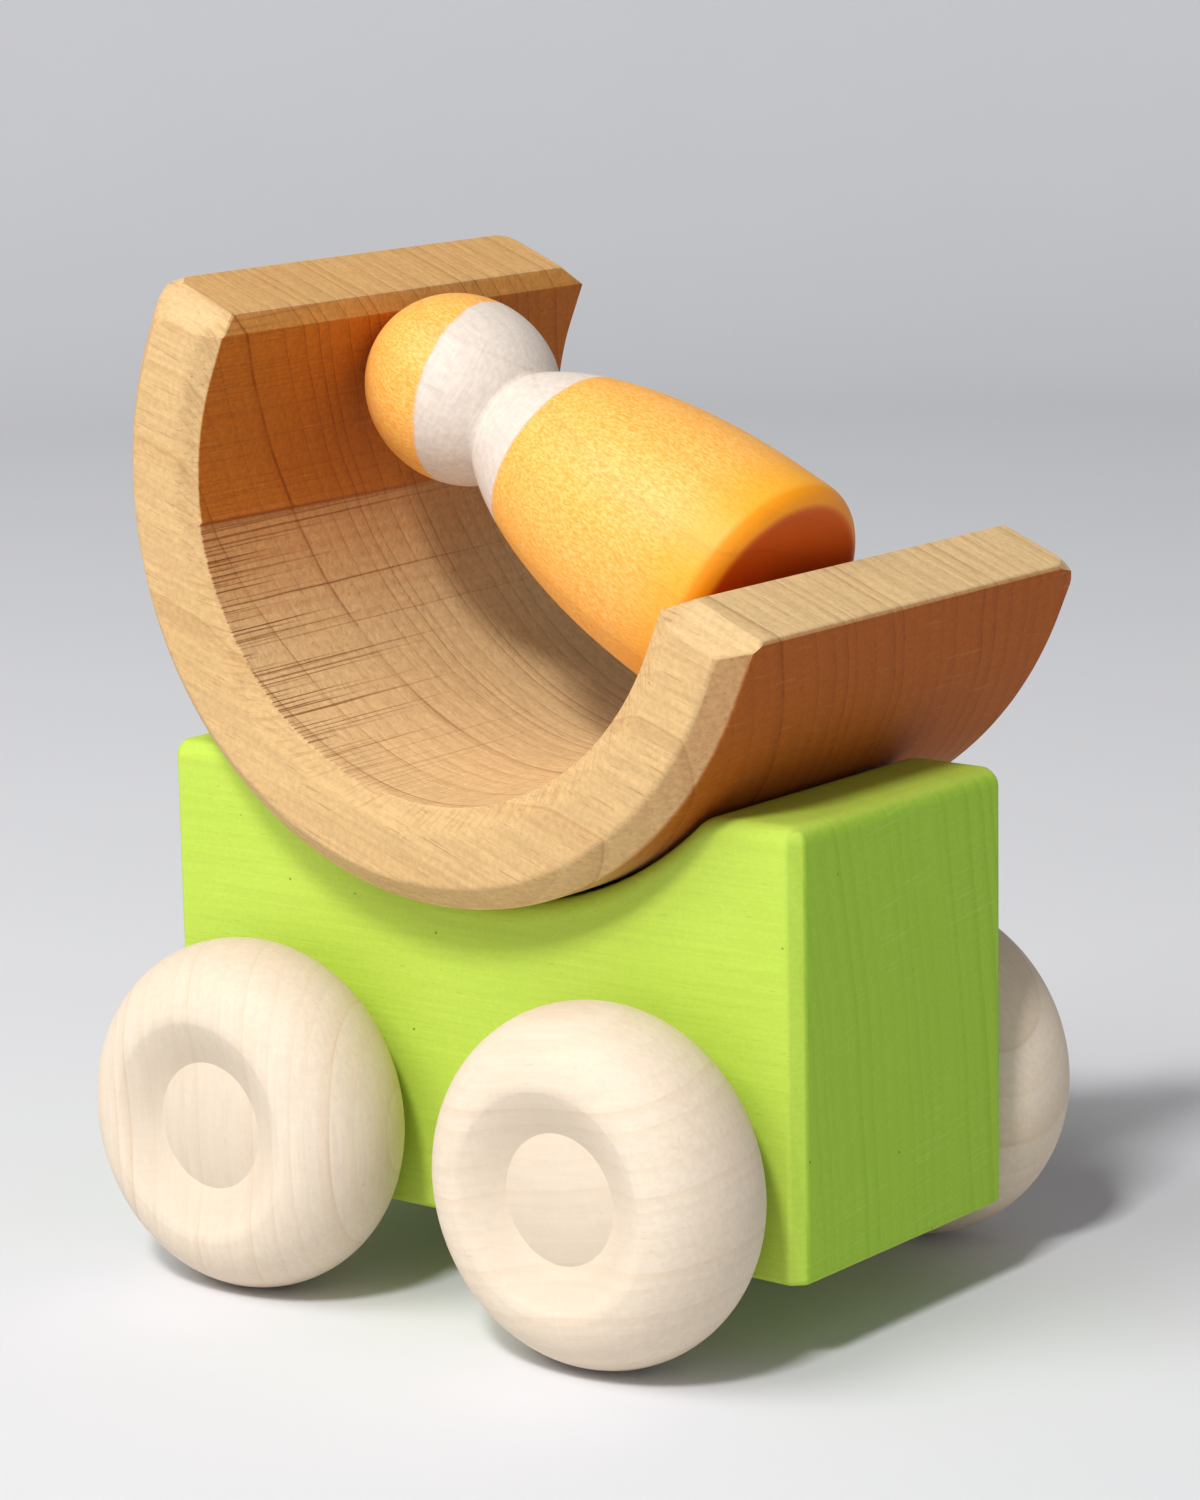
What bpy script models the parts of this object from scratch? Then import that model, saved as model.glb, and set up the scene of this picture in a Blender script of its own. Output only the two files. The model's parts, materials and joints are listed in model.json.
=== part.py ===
"""Stacking car toy in wood.

A dyed block rides on four turned wheels. A saddle in its top carries a loose arch that can rock there,
and a turned peg figure lies across the arch. X runs along the car with its front at +X, Y runs along
the axles, Z is up and the floor is z = 0.
"""
from math import acos, asin, atan2, cos, pi, radians, sin, sqrt

import bmesh
import bpy
from mathutils import Matrix

MM = 0.001

# Chassis block
CHASSIS_LENGTH = 89.0 * MM
CHASSIS_WIDTH = 39.6 * MM
CHASSIS_HEIGHT = 49.8 * MM
GROUND_CLEARANCE = 9.3 * MM
CORNER_CHAMFER = 1.5 * MM
TOP_EDGE_ROUND = 2.0 * MM
BOTTOM_EDGE_CHAMFER = 0.8 * MM
SADDLE_DEPTH = 13.4 * MM  # from the top of the block down to the bottom of the saddle
SADDLE_LIP_ROUND = 5.0 * MM

# Wheels and axles
WHEELBASE = 49.8 * MM
WHEEL_RADIUS = 20.0 * MM
WHEEL_THICKNESS = 17.5 * MM
RIM_WIDTH = 7.6 * MM  # from the tread in to the crest of the rim, across the wheel's face
HUB_RADIUS = 7.2 * MM
HUB_DEPTH = 2.3 * MM  # from the crest of the rim down to the edge of the hub
HUB_DOME = 0.9 * MM
CREST_ROUND = 0.9 * MM
AXLE_RADIUS = 4.0 * MM
AXLE_END_CHAMFER = 0.6 * MM
AXLE_SEAT_DEPTH = 11.0 * MM  # how far an axle goes into the back of a wheel

# Peg figure
FIGURE_LENGTH = 61.5 * MM
FIGURE_RADIUS = 14.5 * MM
FIGURE_BASE_ROUND = 1.8 * MM
FIGURE_SHOULDER_START = 7.5 * MM  # height at which the body starts to curve in
NECK_RADIUS = 7.05 * MM
HEAD_RADIUS = 10.7 * MM
HEAD_HALF_HEIGHT = 11.9 * MM

# Arch
ARCH_WALL = 11.6 * MM
ARCH_WIDTH = 66.6 * MM
ARCH_LEG = 6.6 * MM  # straight length at each end, past the half ring
ARCH_OUTER_CHAMFER = 2.8 * MM  # along the outer edges of both side faces
ARCH_INNER_BEVEL = 2.6 * MM  # along the inner edges of both side faces, measured across the wall
ARCH_INNER_BEVEL_DEPTH = 1.3 * MM  # the same bevel, measured along the arch's width
ARCH_END_OUTER_CHAMFER = 0.5 * MM
ARCH_END_INNER_CHAMFER = 1.8 * MM
ARCH_TIP_CHAMFER = 4.2 * MM  # on each end of the arch, where it meets a side face, measured across the arch
ARCH_TIP_DROP = 2.6 * MM  # the same chamfer, measured down the leg

# How the loose pieces lie
ARCH_OFFSET = 6.1 * MM  # arch slid along its saddle, towards the left side of the car
ARCH_TILT = radians(22.5)  # arch rocked towards the front of the car
FIGURE_LEAN = radians(2.4)  # head raised from the arch's own level
FIGURE_TURN = radians(2.7)  # head turned towards the left side of the car
FIGURE_OFFSET = -3.6 * MM  # figure slid along the arch, towards the right side of the car

# Clearances
SEAT_GAP = 0.3 * MM  # between pieces that rest on each other or are glued
SADDLE_EASE = 1.3 * MM  # by which the saddle is cut larger than the arch, in radius, so that the arch rocks
AXLE_CLEARANCE = 0.4 * MM  # radial, so that an axle turns in its bore
WHEEL_CLEARANCE = 0.9 * MM  # between a wheel and the side of the block

# Facets. With two more than a multiple of four, a wheel stands on a flat, not on an edge.
WHEEL_FACETS = 42
AXLE_FACETS = 24
FIGURE_FACETS = 40
SADDLE_STEPS = 30
LIP_STEPS = 5
RIM_STEPS = 14
ARCH_STEPS = 48
HEAD_STEPS = 12
BODY_STEPS = 9
ROUND_STEPS = 3
MERGE_DISTANCE = 0.001 * MM
SMOOTH_ANGLE = radians(28)

# Values that follow from those above
CHASSIS_TOP = GROUND_CLEARANCE + CHASSIS_HEIGHT
AXLE_HEIGHT = WHEEL_RADIUS * cos(pi / WHEEL_FACETS)
WHEEL_BACK = CHASSIS_WIDTH / 2 + WHEEL_CLEARANCE
AXLE_LENGTH = 2 * (WHEEL_BACK + AXLE_SEAT_DEPTH - SEAT_GAP)
FIGURE_FLAT = FIGURE_RADIUS - FIGURE_BASE_ROUND
HEAD_CENTRE = FIGURE_LENGTH - HEAD_HALF_HEIGHT
NECK_HEIGHT = HEAD_CENTRE - HEAD_HALF_HEIGHT * sqrt(1 - (NECK_RADIUS / HEAD_RADIUS) ** 2)


def arch_seat():
    """Where along the figure the arch's axis crosses it, and the inner radius of the arch.

    The figure lies across the middle of the arch: the top of its head and the rim of its base both
    come within SEAT_GAP of the inner wall.
    """
    reach = FIGURE_LENGTH - 2 * FIGURE_BASE_ROUND
    crossing = FIGURE_BASE_ROUND + (reach**2 - FIGURE_FLAT**2) / (2 * reach)
    return crossing, FIGURE_LENGTH - crossing + SEAT_GAP


FIGURE_CROSSING, ARCH_INNER_RADIUS = arch_seat()
ARCH_OUTER_RADIUS = ARCH_INNER_RADIUS + ARCH_WALL
SADDLE_RADIUS = ARCH_OUTER_RADIUS + SADDLE_EASE
SADDLE_BOTTOM_Z = CHASSIS_TOP - SADDLE_DEPTH
SADDLE_CENTRE_Z = SADDLE_BOTTOM_Z + SADDLE_RADIUS
ARCH_CENTRE_Z = SADDLE_BOTTOM_Z + SEAT_GAP + ARCH_OUTER_RADIUS


def arc(centre, radius, start, end, steps):
    """Points of an arc round centre, from angle start to angle end."""
    angles = [start + (end - start) * i / steps for i in range(steps + 1)]
    return [(centre[0] + radius * cos(a), centre[1] + radius * sin(a)) for a in angles]


def soft_corner(before, corner, after, steps):
    """A curve that leaves before and reaches after, drawn towards corner."""
    points = []
    for i in range(steps + 1):
        t = i / steps
        weights = ((1 - t) ** 2, 2 * t * (1 - t), t**2)
        points.append(tuple(sum(w * p[k] for w, p in zip(weights, (before, corner, after))) for k in (0, 1)))
    return points


def wood(name, colour, roughness):
    material = bpy.data.materials.new(name)
    material.use_nodes = True
    shader = material.node_tree.nodes["Principled BSDF"]
    shader.inputs["Base Color"].default_value = (*colour, 1)
    shader.inputs["Roughness"].default_value = roughness
    shader.inputs["Metallic"].default_value = 0
    return material


def add_object(name, mesh, material=None, parent=None):
    obj = bpy.data.objects.new(name, mesh)
    bpy.context.scene.collection.objects.link(obj)
    obj.parent = parent
    if material:
        mesh.materials.append(material)
    return obj


def add_pivot(name, location, parent=None):
    """An empty on a joint's axis, for the pieces that move there."""
    pivot = add_object(name, None, parent=parent)
    pivot.empty_display_size = 10 * MM
    pivot.location = location
    return pivot


def solid(name, bm, material, parent=None):
    """An object from a bmesh, with its round stretches shaded smooth."""
    bmesh.ops.recalc_face_normals(bm, faces=bm.faces)
    mesh = bpy.data.meshes.new(name)
    bm.to_mesh(mesh)
    bm.free()
    mesh.shade_smooth()
    mesh.set_sharp_from_angle(angle=SMOOTH_ANGLE)
    return add_object(name, mesh, material, parent)


def turned(name, outline, facets, material=None, parent=None):
    """A piece turned about its own Z axis. The outline is (radius, height) points, from its top down."""
    mesh = bpy.data.meshes.new(name)
    edges = [(i, i + 1) for i in range(len(outline) - 1)]
    mesh.from_pydata([(radius, 0, height) for radius, height in outline], edges, [])
    obj = add_object(name, mesh, material, parent)
    screw = obj.modifiers.new("Turning", "SCREW")
    screw.axis = "Z"
    screw.angle = 2 * pi
    screw.steps = facets
    screw.render_steps = facets
    screw.use_merge_vertices = True
    screw.merge_threshold = MERGE_DISTANCE
    screw.use_smooth_shade = True
    return obj


def chassis_outline():
    """Side view of the block, from its rear bottom corner round by the front, as (x, z) points."""
    end = CHASSIS_LENGTH / 2
    lip_reach = SADDLE_RADIUS + SADDLE_LIP_ROUND
    lip_z = CHASSIS_TOP - SADDLE_LIP_ROUND
    lip_x = sqrt(lip_reach**2 - (SADDLE_CENTRE_Z - lip_z) ** 2)
    swing = atan2(lip_x, SADDLE_CENTRE_Z - lip_z)
    front_lip = arc((lip_x, lip_z), SADDLE_LIP_ROUND, pi / 2, pi / 2 + swing, LIP_STEPS)
    saddle = arc((0, SADDLE_CENTRE_Z), SADDLE_RADIUS, swing - pi / 2, -swing - pi / 2, SADDLE_STEPS)
    rear_lip = [(-x, z) for x, z in reversed(front_lip)]
    bottom = [(-end, GROUND_CLEARANCE), (end, GROUND_CLEARANCE)]
    return bottom + [(end, CHASSIS_TOP)] + front_lip + saddle[1:-1] + rear_lip + [(-end, CHASSIS_TOP)]


def plane_cut(bm, point, normal):
    """Takes off what lies beyond a plane, and closes the cut with flat faces."""
    whole = bm.verts[:] + bm.edges[:] + bm.faces[:]
    cut = bmesh.ops.bisect_plane(bm, geom=whole, plane_co=point, plane_no=normal, clear_outer=True)["geom_cut"]
    bmesh.ops.edgeloop_fill(bm, edges=[part for part in cut if isinstance(part, bmesh.types.BMEdge)])


def rim_edges(bm, direction):
    """Edges where an upright face meets a face that looks up (1) or down (-1)."""
    upright = 0.01
    found = []
    for edge in bm.edges:
        side, cap = sorted((face.normal.z for face in edge.link_faces), key=abs)
        if abs(side) < upright and cap * direction > upright:
            found.append(edge)
    return found


def build_chassis(material):
    bm = bmesh.new()
    outline = [bm.verts.new((x, -CHASSIS_WIDTH / 2, z)) for x, z in chassis_outline()]
    grown = bmesh.ops.extrude_face_region(bm, geom=[bm.faces.new(outline)])["geom"]
    far_side = [part for part in grown if isinstance(part, bmesh.types.BMVert)]
    bmesh.ops.translate(bm, vec=(0, CHASSIS_WIDTH, 0), verts=far_side)
    bmesh.ops.recalc_face_normals(bm, faces=bm.faces)
    for x_side in (-1, 1):
        for y_side in (-1, 1):
            corner = (x_side * (CHASSIS_LENGTH / 2 - CORNER_CHAMFER), y_side * CHASSIS_WIDTH / 2, 0)
            plane_cut(bm, corner, (x_side, y_side, 0))
    bm.normal_update()
    bmesh.ops.bevel(
        bm, geom=rim_edges(bm, 1), offset=TOP_EDGE_ROUND, segments=ROUND_STEPS, profile=0.5, affect="EDGES"
    )
    bm.normal_update()
    bmesh.ops.bevel(
        bm, geom=rim_edges(bm, -1), offset=BOTTOM_EDGE_CHAMFER, segments=1, profile=0.5, affect="EDGES"
    )
    chassis = solid("chassis_block", bm, material)
    for name, x in (("rear", -WHEELBASE / 2), ("front", WHEELBASE / 2)):
        bore = chassis.modifiers.new(f"{name} bore", "BOOLEAN")
        bore.operation = "DIFFERENCE"
        bore.object = axle_drill(f"{name}_axle_drill", x)
    return chassis


def axle_drill(name, x):
    """Cutter for a bore through the block, longer than the block is wide."""
    radius = AXLE_RADIUS + AXLE_CLEARANCE
    reach = CHASSIS_WIDTH
    drill = turned(name, [(0, reach), (radius, reach), (radius, -reach), (0, -reach)], AXLE_FACETS)
    drill.location = (x, 0, AXLE_HEIGHT)
    drill.rotation_euler = (pi / 2, 0, 0)
    drill.hide_render = True
    drill.display_type = "WIRE"
    return drill


def wheel_outline():
    """Half section of a wheel from the middle of its hub round to its axle bore. Height 0 is half way."""
    half = WHEEL_THICKNESS / 2
    crest = WHEEL_RADIUS - RIM_WIDTH
    hub_edge = half - HUB_DEPTH
    bore = AXLE_RADIUS + SEAT_GAP
    bore_floor = AXLE_SEAT_DEPTH - half
    dome = [(HUB_RADIUS * t, hub_edge + HUB_DOME * (1 - t * t)) for t in (0, 0.3, 0.6, 0.85, 1)]
    slope = HUB_DEPTH / (crest - HUB_RADIUS)
    ridge = soft_corner(
        (crest - CREST_ROUND, half - slope * CREST_ROUND), (crest, half), (crest + CREST_ROUND, half), ROUND_STEPS
    )
    tread = [(crest + RIM_WIDTH * c, half * s) for c, s in arc((0, 0), 1, pi / 2, -pi / 2, RIM_STEPS)]
    rim = [point for point in tread if point[0] > crest + CREST_ROUND]
    back = [(crest, -half), (bore, -half), (bore, bore_floor), (0, bore_floor)]
    return dome + ridge + rim + back


def build_axle(name, x, wood_of_axle, wood_of_wheels):
    """A dowel that turns in the block, with a wheel glued on each end."""
    pivot = add_pivot(f"{name}_axle_pivot", (x, 0, AXLE_HEIGHT))
    end, tip = AXLE_LENGTH / 2, AXLE_RADIUS - AXLE_END_CHAMFER
    shoulder = end - AXLE_END_CHAMFER
    outline = [(0, end), (tip, end), (AXLE_RADIUS, shoulder), (AXLE_RADIUS, -shoulder), (tip, -end), (0, -end)]
    axle = turned(f"{name}_axle", outline, AXLE_FACETS, wood_of_axle, pivot)
    axle.rotation_euler = (pi / 2, 0, 0)
    for side, direction in (("left", 1), ("right", -1)):
        wheel = turned(f"{name}_{side}_wheel", wheel_outline(), WHEEL_FACETS, wood_of_wheels, pivot)
        wheel.location = (0, direction * (WHEEL_BACK + WHEEL_THICKNESS / 2), 0)
        wheel.rotation_euler = (-direction * pi / 2, 0, 0)


def arch_section():
    """Section of the arch's wall with its chamfered edges, as (radius, y) points."""
    inner, outer, half = ARCH_INNER_RADIUS, ARCH_OUTER_RADIUS, ARCH_WIDTH / 2
    right = [
        (inner, ARCH_INNER_BEVEL_DEPTH - half),
        (inner + ARCH_INNER_BEVEL, -half),
        (outer - ARCH_OUTER_CHAMFER, -half),
        (outer, ARCH_OUTER_CHAMFER - half),
    ]
    return right + [(radius, -y) for radius, y in reversed(right)]


def bevel_ends(bm, radius, size):
    """Chamfers the edge at a radius on the end of each leg."""
    rims = []
    for edge in bm.edges:
        on_end = all(v.co.z > ARCH_LEG - MERGE_DISTANCE for v in edge.verts)
        if on_end and all(abs(abs(v.co.x) - radius) < MERGE_DISTANCE for v in edge.verts):
            rims.append(edge)
    bmesh.ops.bevel(bm, geom=rims, offset=size, segments=1, profile=0.5, affect="EDGES")


def build_arch(material):
    """The half ring, swept from its rear leg to its front leg, on a pivot at the saddle's axis."""
    pivot = add_pivot("arch_pivot", (0, ARCH_OFFSET, ARCH_CENTRE_Z))
    pivot.rotation_euler = (0, ARCH_TILT, 0)
    bm = bmesh.new()
    section = bm.faces.new([bm.verts.new((-radius, y, 0)) for radius, y in arch_section()])
    bmesh.ops.spin(bm, geom=[section], cent=(0, 0, 0), axis=(0, -1, 0), angle=pi, steps=ARCH_STEPS)
    for end in [face for face in bm.faces if all(abs(v.co.z) < MERGE_DISTANCE for v in face.verts)]:
        grown = bmesh.ops.extrude_face_region(bm, geom=[end])["geom"]
        top = [part for part in grown if isinstance(part, bmesh.types.BMVert)]
        bmesh.ops.translate(bm, vec=(0, 0, ARCH_LEG), verts=top)
        bmesh.ops.delete(bm, geom=[end], context="FACES_ONLY")
    bevel_ends(bm, ARCH_INNER_RADIUS, ARCH_END_INNER_CHAMFER)
    bevel_ends(bm, ARCH_OUTER_RADIUS, ARCH_END_OUTER_CHAMFER)
    for side in (-1, 1):
        below_tip = (0, side * ARCH_WIDTH / 2, ARCH_LEG - ARCH_TIP_DROP)
        plane_cut(bm, below_tip, (0, side * ARCH_TIP_DROP, ARCH_TIP_CHAMFER))
    solid("rocking_arch", bm, material, pivot)
    return pivot


def figure_outline():
    """Half section of the figure from the top of its head, by the groove of its neck, down to its base.

    Head and body are both elliptical, and both end at the neck.
    """
    head_swing = pi - asin(NECK_RADIUS / HEAD_RADIUS)
    body_swing = acos(NECK_RADIUS / FIGURE_RADIUS)
    body_rise = (NECK_HEIGHT - FIGURE_SHOULDER_START) / sin(body_swing)
    head_angles = [head_swing * i / HEAD_STEPS for i in range(HEAD_STEPS + 1)]
    head = [(HEAD_RADIUS * sin(a), HEAD_CENTRE + HEAD_HALF_HEIGHT * cos(a)) for a in head_angles]
    body_angles = [body_swing * (1 - i / BODY_STEPS) for i in range(1, BODY_STEPS + 1)]
    body = [(FIGURE_RADIUS * cos(a), FIGURE_SHOULDER_START + body_rise * sin(a)) for a in body_angles]
    rim = arc((FIGURE_FLAT, FIGURE_BASE_ROUND), FIGURE_BASE_ROUND, 0, -pi / 2, ROUND_STEPS)
    return head + body + rim + [(0, 0)]


def build_figure(material, arch_pivot):
    """The figure lies in the arch with its base towards the front, head raised by FIGURE_LEAN."""
    figure = turned("peg_figure", figure_outline(), FIGURE_FACETS, material, arch_pivot)
    place = Matrix.Translation((0, FIGURE_OFFSET, 0)) @ Matrix.Rotation(-FIGURE_TURN, 4, "Z")
    lying = Matrix.Rotation(FIGURE_LEAN - pi / 2, 4, "Y")
    figure.matrix_local = place @ lying @ Matrix.Translation((0, 0, -FIGURE_CROSSING))


def main():
    for obj in list(bpy.data.objects):
        bpy.data.objects.remove(obj)
    build_chassis(wood("green_dyed_wood", (0.40, 0.68, 0.03), 0.55))
    maple = wood("pale_maple", (0.80, 0.66, 0.48), 0.5)
    dowel = wood("beech_dowel", (0.66, 0.48, 0.30), 0.55)
    for name, x in (("rear", -WHEELBASE / 2), ("front", WHEELBASE / 2)):
        build_axle(name, x, dowel, maple)
    arch_pivot = build_arch(wood("natural_alder", (0.55, 0.29, 0.12), 0.6))
    build_figure(wood("orange_dyed_wood", (0.95, 0.42, 0.03), 0.5), arch_pivot)


main()
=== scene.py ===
"""Looks of the wooden stacking car: finely shaped pieces with wood finishes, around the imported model.

X runs along the car with its front at +X, Y runs along the axles, Z is up. Sizes are in metres, and
inside a finish every length is in millimetres of the piece's own frame.
"""
import json
from math import acos, asin, atan2, cos, hypot, pi, radians, sin, sqrt

import bmesh
import bpy
from mathutils import Matrix, Vector, noise


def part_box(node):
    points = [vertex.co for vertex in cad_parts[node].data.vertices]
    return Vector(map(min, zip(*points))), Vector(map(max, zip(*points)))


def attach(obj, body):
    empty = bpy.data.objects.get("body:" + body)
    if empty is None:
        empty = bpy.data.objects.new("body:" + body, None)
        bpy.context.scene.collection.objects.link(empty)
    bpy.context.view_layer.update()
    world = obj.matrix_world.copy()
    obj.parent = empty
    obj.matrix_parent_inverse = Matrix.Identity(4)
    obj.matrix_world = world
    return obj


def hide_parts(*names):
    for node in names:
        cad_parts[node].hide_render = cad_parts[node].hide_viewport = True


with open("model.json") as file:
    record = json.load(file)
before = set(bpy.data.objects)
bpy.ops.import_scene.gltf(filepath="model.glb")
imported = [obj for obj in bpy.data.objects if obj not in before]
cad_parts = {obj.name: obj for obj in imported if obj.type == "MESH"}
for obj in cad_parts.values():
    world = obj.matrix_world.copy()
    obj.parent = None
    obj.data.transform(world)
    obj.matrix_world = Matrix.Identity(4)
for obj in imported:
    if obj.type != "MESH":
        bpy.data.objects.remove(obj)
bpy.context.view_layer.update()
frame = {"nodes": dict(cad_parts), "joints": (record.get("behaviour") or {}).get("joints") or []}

MM = 0.001
JOINTS = {joint["name"]: joint for joint in frame["joints"]}

# Picture and camera
PICTURE_HEIGHT_PX = 1500
FOCAL_LENGTH_PX = 4700
SENSOR = 36.0
CAMERA_AZIMUTH = radians(38.26)
CAMERA_ELEVATION = radians(11.55)
CAMERA_ROLL = radians(-1.08)
CAMERA_DISTANCE = 541.1 * MM
LOOK_RIGHT = 1.4 * MM  # from the origin to what the camera looks at, across the picture
LOOK_UP = 58.1 * MM  # the same, up the picture

# How the loose pieces lie
ARCH_TILT = radians(22.5)
FIGURE_LEAN = radians(2.4)
FIGURE_TURN = radians(2.7)
FIGURE_OFFSET = -3.6 * MM

# Block
CORNER_CHAMFER = 1.5 * MM
TOP_EDGE_ROUND = 2.0 * MM
BOTTOM_EDGE_ROUND = 0.8 * MM
SADDLE_LIP_ROUND = 5.0 * MM
SADDLE_EASE = 1.3 * MM
SEAT_GAP = 0.3 * MM
BORE_RADIUS = 4.4 * MM
EDGE_WEAR = 0.35 * MM  # how far the upright edges are rubbed down
EDGE_WEAR_ANGLE = radians(30)  # edges that turn further than this are rubbed down

# Wheels
RIM_WIDTH = 7.6 * MM
HUB_RADIUS = 7.2 * MM
HUB_DEPTH = 2.3 * MM
HUB_DOME = 0.9 * MM
HUB_CREASE = 0.06 * MM
RIDGE_ROUND = 0.8 * MM
WHEEL_BORE_RADIUS = 4.3 * MM
WHEEL_BORE_DEPTH = 11.0 * MM
DISH_PULL = (0.50, 0.58)  # where the dish bends, as shares of its width and of its depth

# Arch
ARCH_WALL = 11.6 * MM
ARCH_LEG = 6.6 * MM
ARCH_WIDTH = 66.6 * MM
ARCH_OUTER_CHAMFER = 2.8 * MM
ARCH_INNER_BEVEL = 2.6 * MM
ARCH_INNER_BEVEL_DEPTH = 1.3 * MM
ARCH_END_OUTER_CHAMFER = 0.5 * MM
ARCH_END_INNER_CHAMFER = 1.8 * MM
ARCH_TIP_CHAMFER = 4.2 * MM
ARCH_TIP_DROP = 2.6 * MM
ARCH_WEAR = 0.6 * MM  # radius of the edges round the ends
REAR_TIP_WEARS = (4.0 * MM, 4.0 * MM)  # radius of the rear leg's outer corners, on the right and the left
FRONT_TIP_WEARS = (0.7 * MM, 4.0 * MM)  # the same for the front leg
# How far the rounding of the four long edges of a side reaches, from the innermost edge to the outermost
ARCH_EDGE_INSETS = (0.2 * MM, 0.9 * MM, 0.5 * MM, 0.5 * MM)
ARCH_CRISP_ANGLE = radians(24)  # edges that turn further than this stay crisp
SAW_DEPTH = 0.16 * MM
SAW_PITCH = 0.9 * MM
SAW_FADE_START, SAW_FADE_END = radians(55), radians(85)  # round from the rear leg, where marks grow shallow
SAW_FADE_SHARE = 0.9
SAW_STOP_START, SAW_STOP_END = radians(170), radians(180)  # and where they end, at the front leg
LEDGE_ANGLE = radians(30)  # round from the rear leg, where two saw cuts met
LEDGE_FADE = radians(25)  # from the ledge to where the lower cut is as deep as the upper one
LEDGE_DEPTH = 0.3 * MM

# Figure
FIGURE_LENGTH = 61.5 * MM
FIGURE_CROSSING = 29.357 * MM  # from the base to where the arch's axis crosses the figure
FIGURE_RADIUS = 14.5 * MM
FIGURE_BASE_ROUND = 2.8 * MM
FIGURE_SHOULDER_START = 7.5 * MM
NECK_RADIUS = 7.05 * MM
HEAD_RADIUS = 10.7 * MM
HEAD_HALF_HEIGHT = 11.9 * MM

# Fineness: in how many steps curves are drawn, and how near points are merged
TURNED_STEPS = 176
ARCH_STEPS = 320
ARCH_EDGE_STEPS = 5
ROUNDING_CUTS = 4
SADDLE_STEPS = 72
TOP_EDGE_STEPS = 6
BOTTOM_EDGE_STEPS = 3
EDGE_WEAR_STEPS = 3
HUB_STEPS = 14
DISH_STEPS = 16
RIDGE_STEPS = 5
TREAD_STEPS = 48
FIGURE_STEPS = 44
FIGURE_RIM_STEPS = 10
FLOOR_STEPS = 128
FLOOR_BEND_STEPS = 24
MERGE_DISTANCE = 0.001 * MM
WELD_DISTANCE = 0.02 * MM  # slivers left by cuts that are shorter than this close up

# Growth rings: where the dark part of a ring starts and where its thin line lies, as shares of the ring
LATE_START = 0.25
LINE_START = 0.86
LINE_PEAK = 0.94
LINE_END = 0.99

# Places in the finishes, in millimetres of each piece's own frame
HUB_RECESS_SHADE_FADE = (9.0, 13.0)  # from a wheel's axle out, where the painted shade in the hub's recess fades
SWEEP_RADIUS = 36.0  # ways round the arch are measured at this radius
LEDGE_SWEEP = LEDGE_ANGLE * SWEEP_RADIUS
INNER_FADE = (34.0, 36.0)  # radii where the inner side of the arch's wall ends
OUTER_FADE = (38.0, 42.0)  # radii where the outer side of the arch's wall begins
REAR_LEG_FADE = (-34.0, -32.0)  # along X, where the rear leg ends
SAW_MARK_FADE = (44.0, 70.0)  # round the arch, where the saw marks grow faint
SHORTEST_MARK = 1.5
CROWN_DYE_HEIGHT = 48.5
CROWN_DYE_LEAN = (-0.224, -0.107)  # of the dye's edge, along X and along Y
BODY_DYE_HEIGHT = 33.3
BODY_DYE_LEAN = 0.05  # of the dye's edge, along X
LOW_DYE_FADE = (1.0, 12.0)  # up the body, where the dye is deeper
BASE_DYE_FADE = (3.0, 3.4)  # up the body, where the base's own tones end


def arc(centre, radius, start, end, steps):
    """Points of an arc round centre, from angle start to angle end."""
    angles = [start + (end - start) * i / steps for i in range(steps + 1)]
    return [(centre[0] + radius * cos(a), centre[1] + radius * sin(a)) for a in angles]


def soft_corner(before, corner, after, steps):
    """A curve that leaves before and reaches after, drawn towards corner."""
    ends = (before, corner, after)
    points = []
    for i in range(steps + 1):
        t = i / steps
        weights = ((1 - t) ** 2, 2 * t * (1 - t), t**2)
        points.append(tuple(sum(w * p[k] for w, p in zip(weights, ends)) for k in (0, 1)))
    return points


def add_piece(name, bm, place=Matrix.Identity(4)):
    """An object from a bmesh that is in the frame of place, smooth all over."""
    bmesh.ops.recalc_face_normals(bm, faces=bm.faces)
    bm.transform(place)
    mesh = bpy.data.meshes.new(name)
    bm.to_mesh(mesh)
    bm.free()
    mesh.shade_smooth()
    piece = bpy.data.objects.new(name, mesh)
    bpy.context.scene.collection.objects.link(piece)
    return piece


def stand_for(piece, node, body, material):
    """The piece takes the node's place in the picture and moves with the node's body."""
    piece.data.materials.append(material)
    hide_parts(node)
    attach(piece, body)


def wear_edges(piece):
    """Rubs down the edges that turn furthest, and keeps the flats flat."""
    bevel = piece.modifiers.new("Worn edges", "BEVEL")
    bevel.width = EDGE_WEAR
    bevel.segments = EDGE_WEAR_STEPS
    bevel.limit_method = "ANGLE"
    bevel.angle_limit = EDGE_WEAR_ANGLE
    bevel.use_clamp_overlap = False
    keep_flats(piece)


def keep_flats(piece):
    """Shades large flat faces as flat, next to the rounded edges."""
    normals = piece.modifiers.new("Flat faces", "WEIGHTED_NORMAL")
    normals.keep_sharp = True


def spun(outline, steps):
    """A bmesh turned about the Z axis, from (radius, height) points."""
    bm = bmesh.new()
    verts = [bm.verts.new((radius, 0, height)) for radius, height in outline]
    edges = [bm.edges.new(pair) for pair in zip(verts, verts[1:])]
    whole_turn = {"cent": (0, 0, 0), "axis": (0, 0, 1), "angle": 2 * pi, "use_merge": True}
    bmesh.ops.spin(bm, geom=verts + edges, steps=steps, **whole_turn)
    bmesh.ops.remove_doubles(bm, verts=bm.verts, dist=MERGE_DISTANCE)
    return bm


def turned(name, outline, place):
    """A piece turned about its own Z axis, from (radius, height) points."""
    return add_piece(name, spun(outline, TURNED_STEPS), place)


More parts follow.
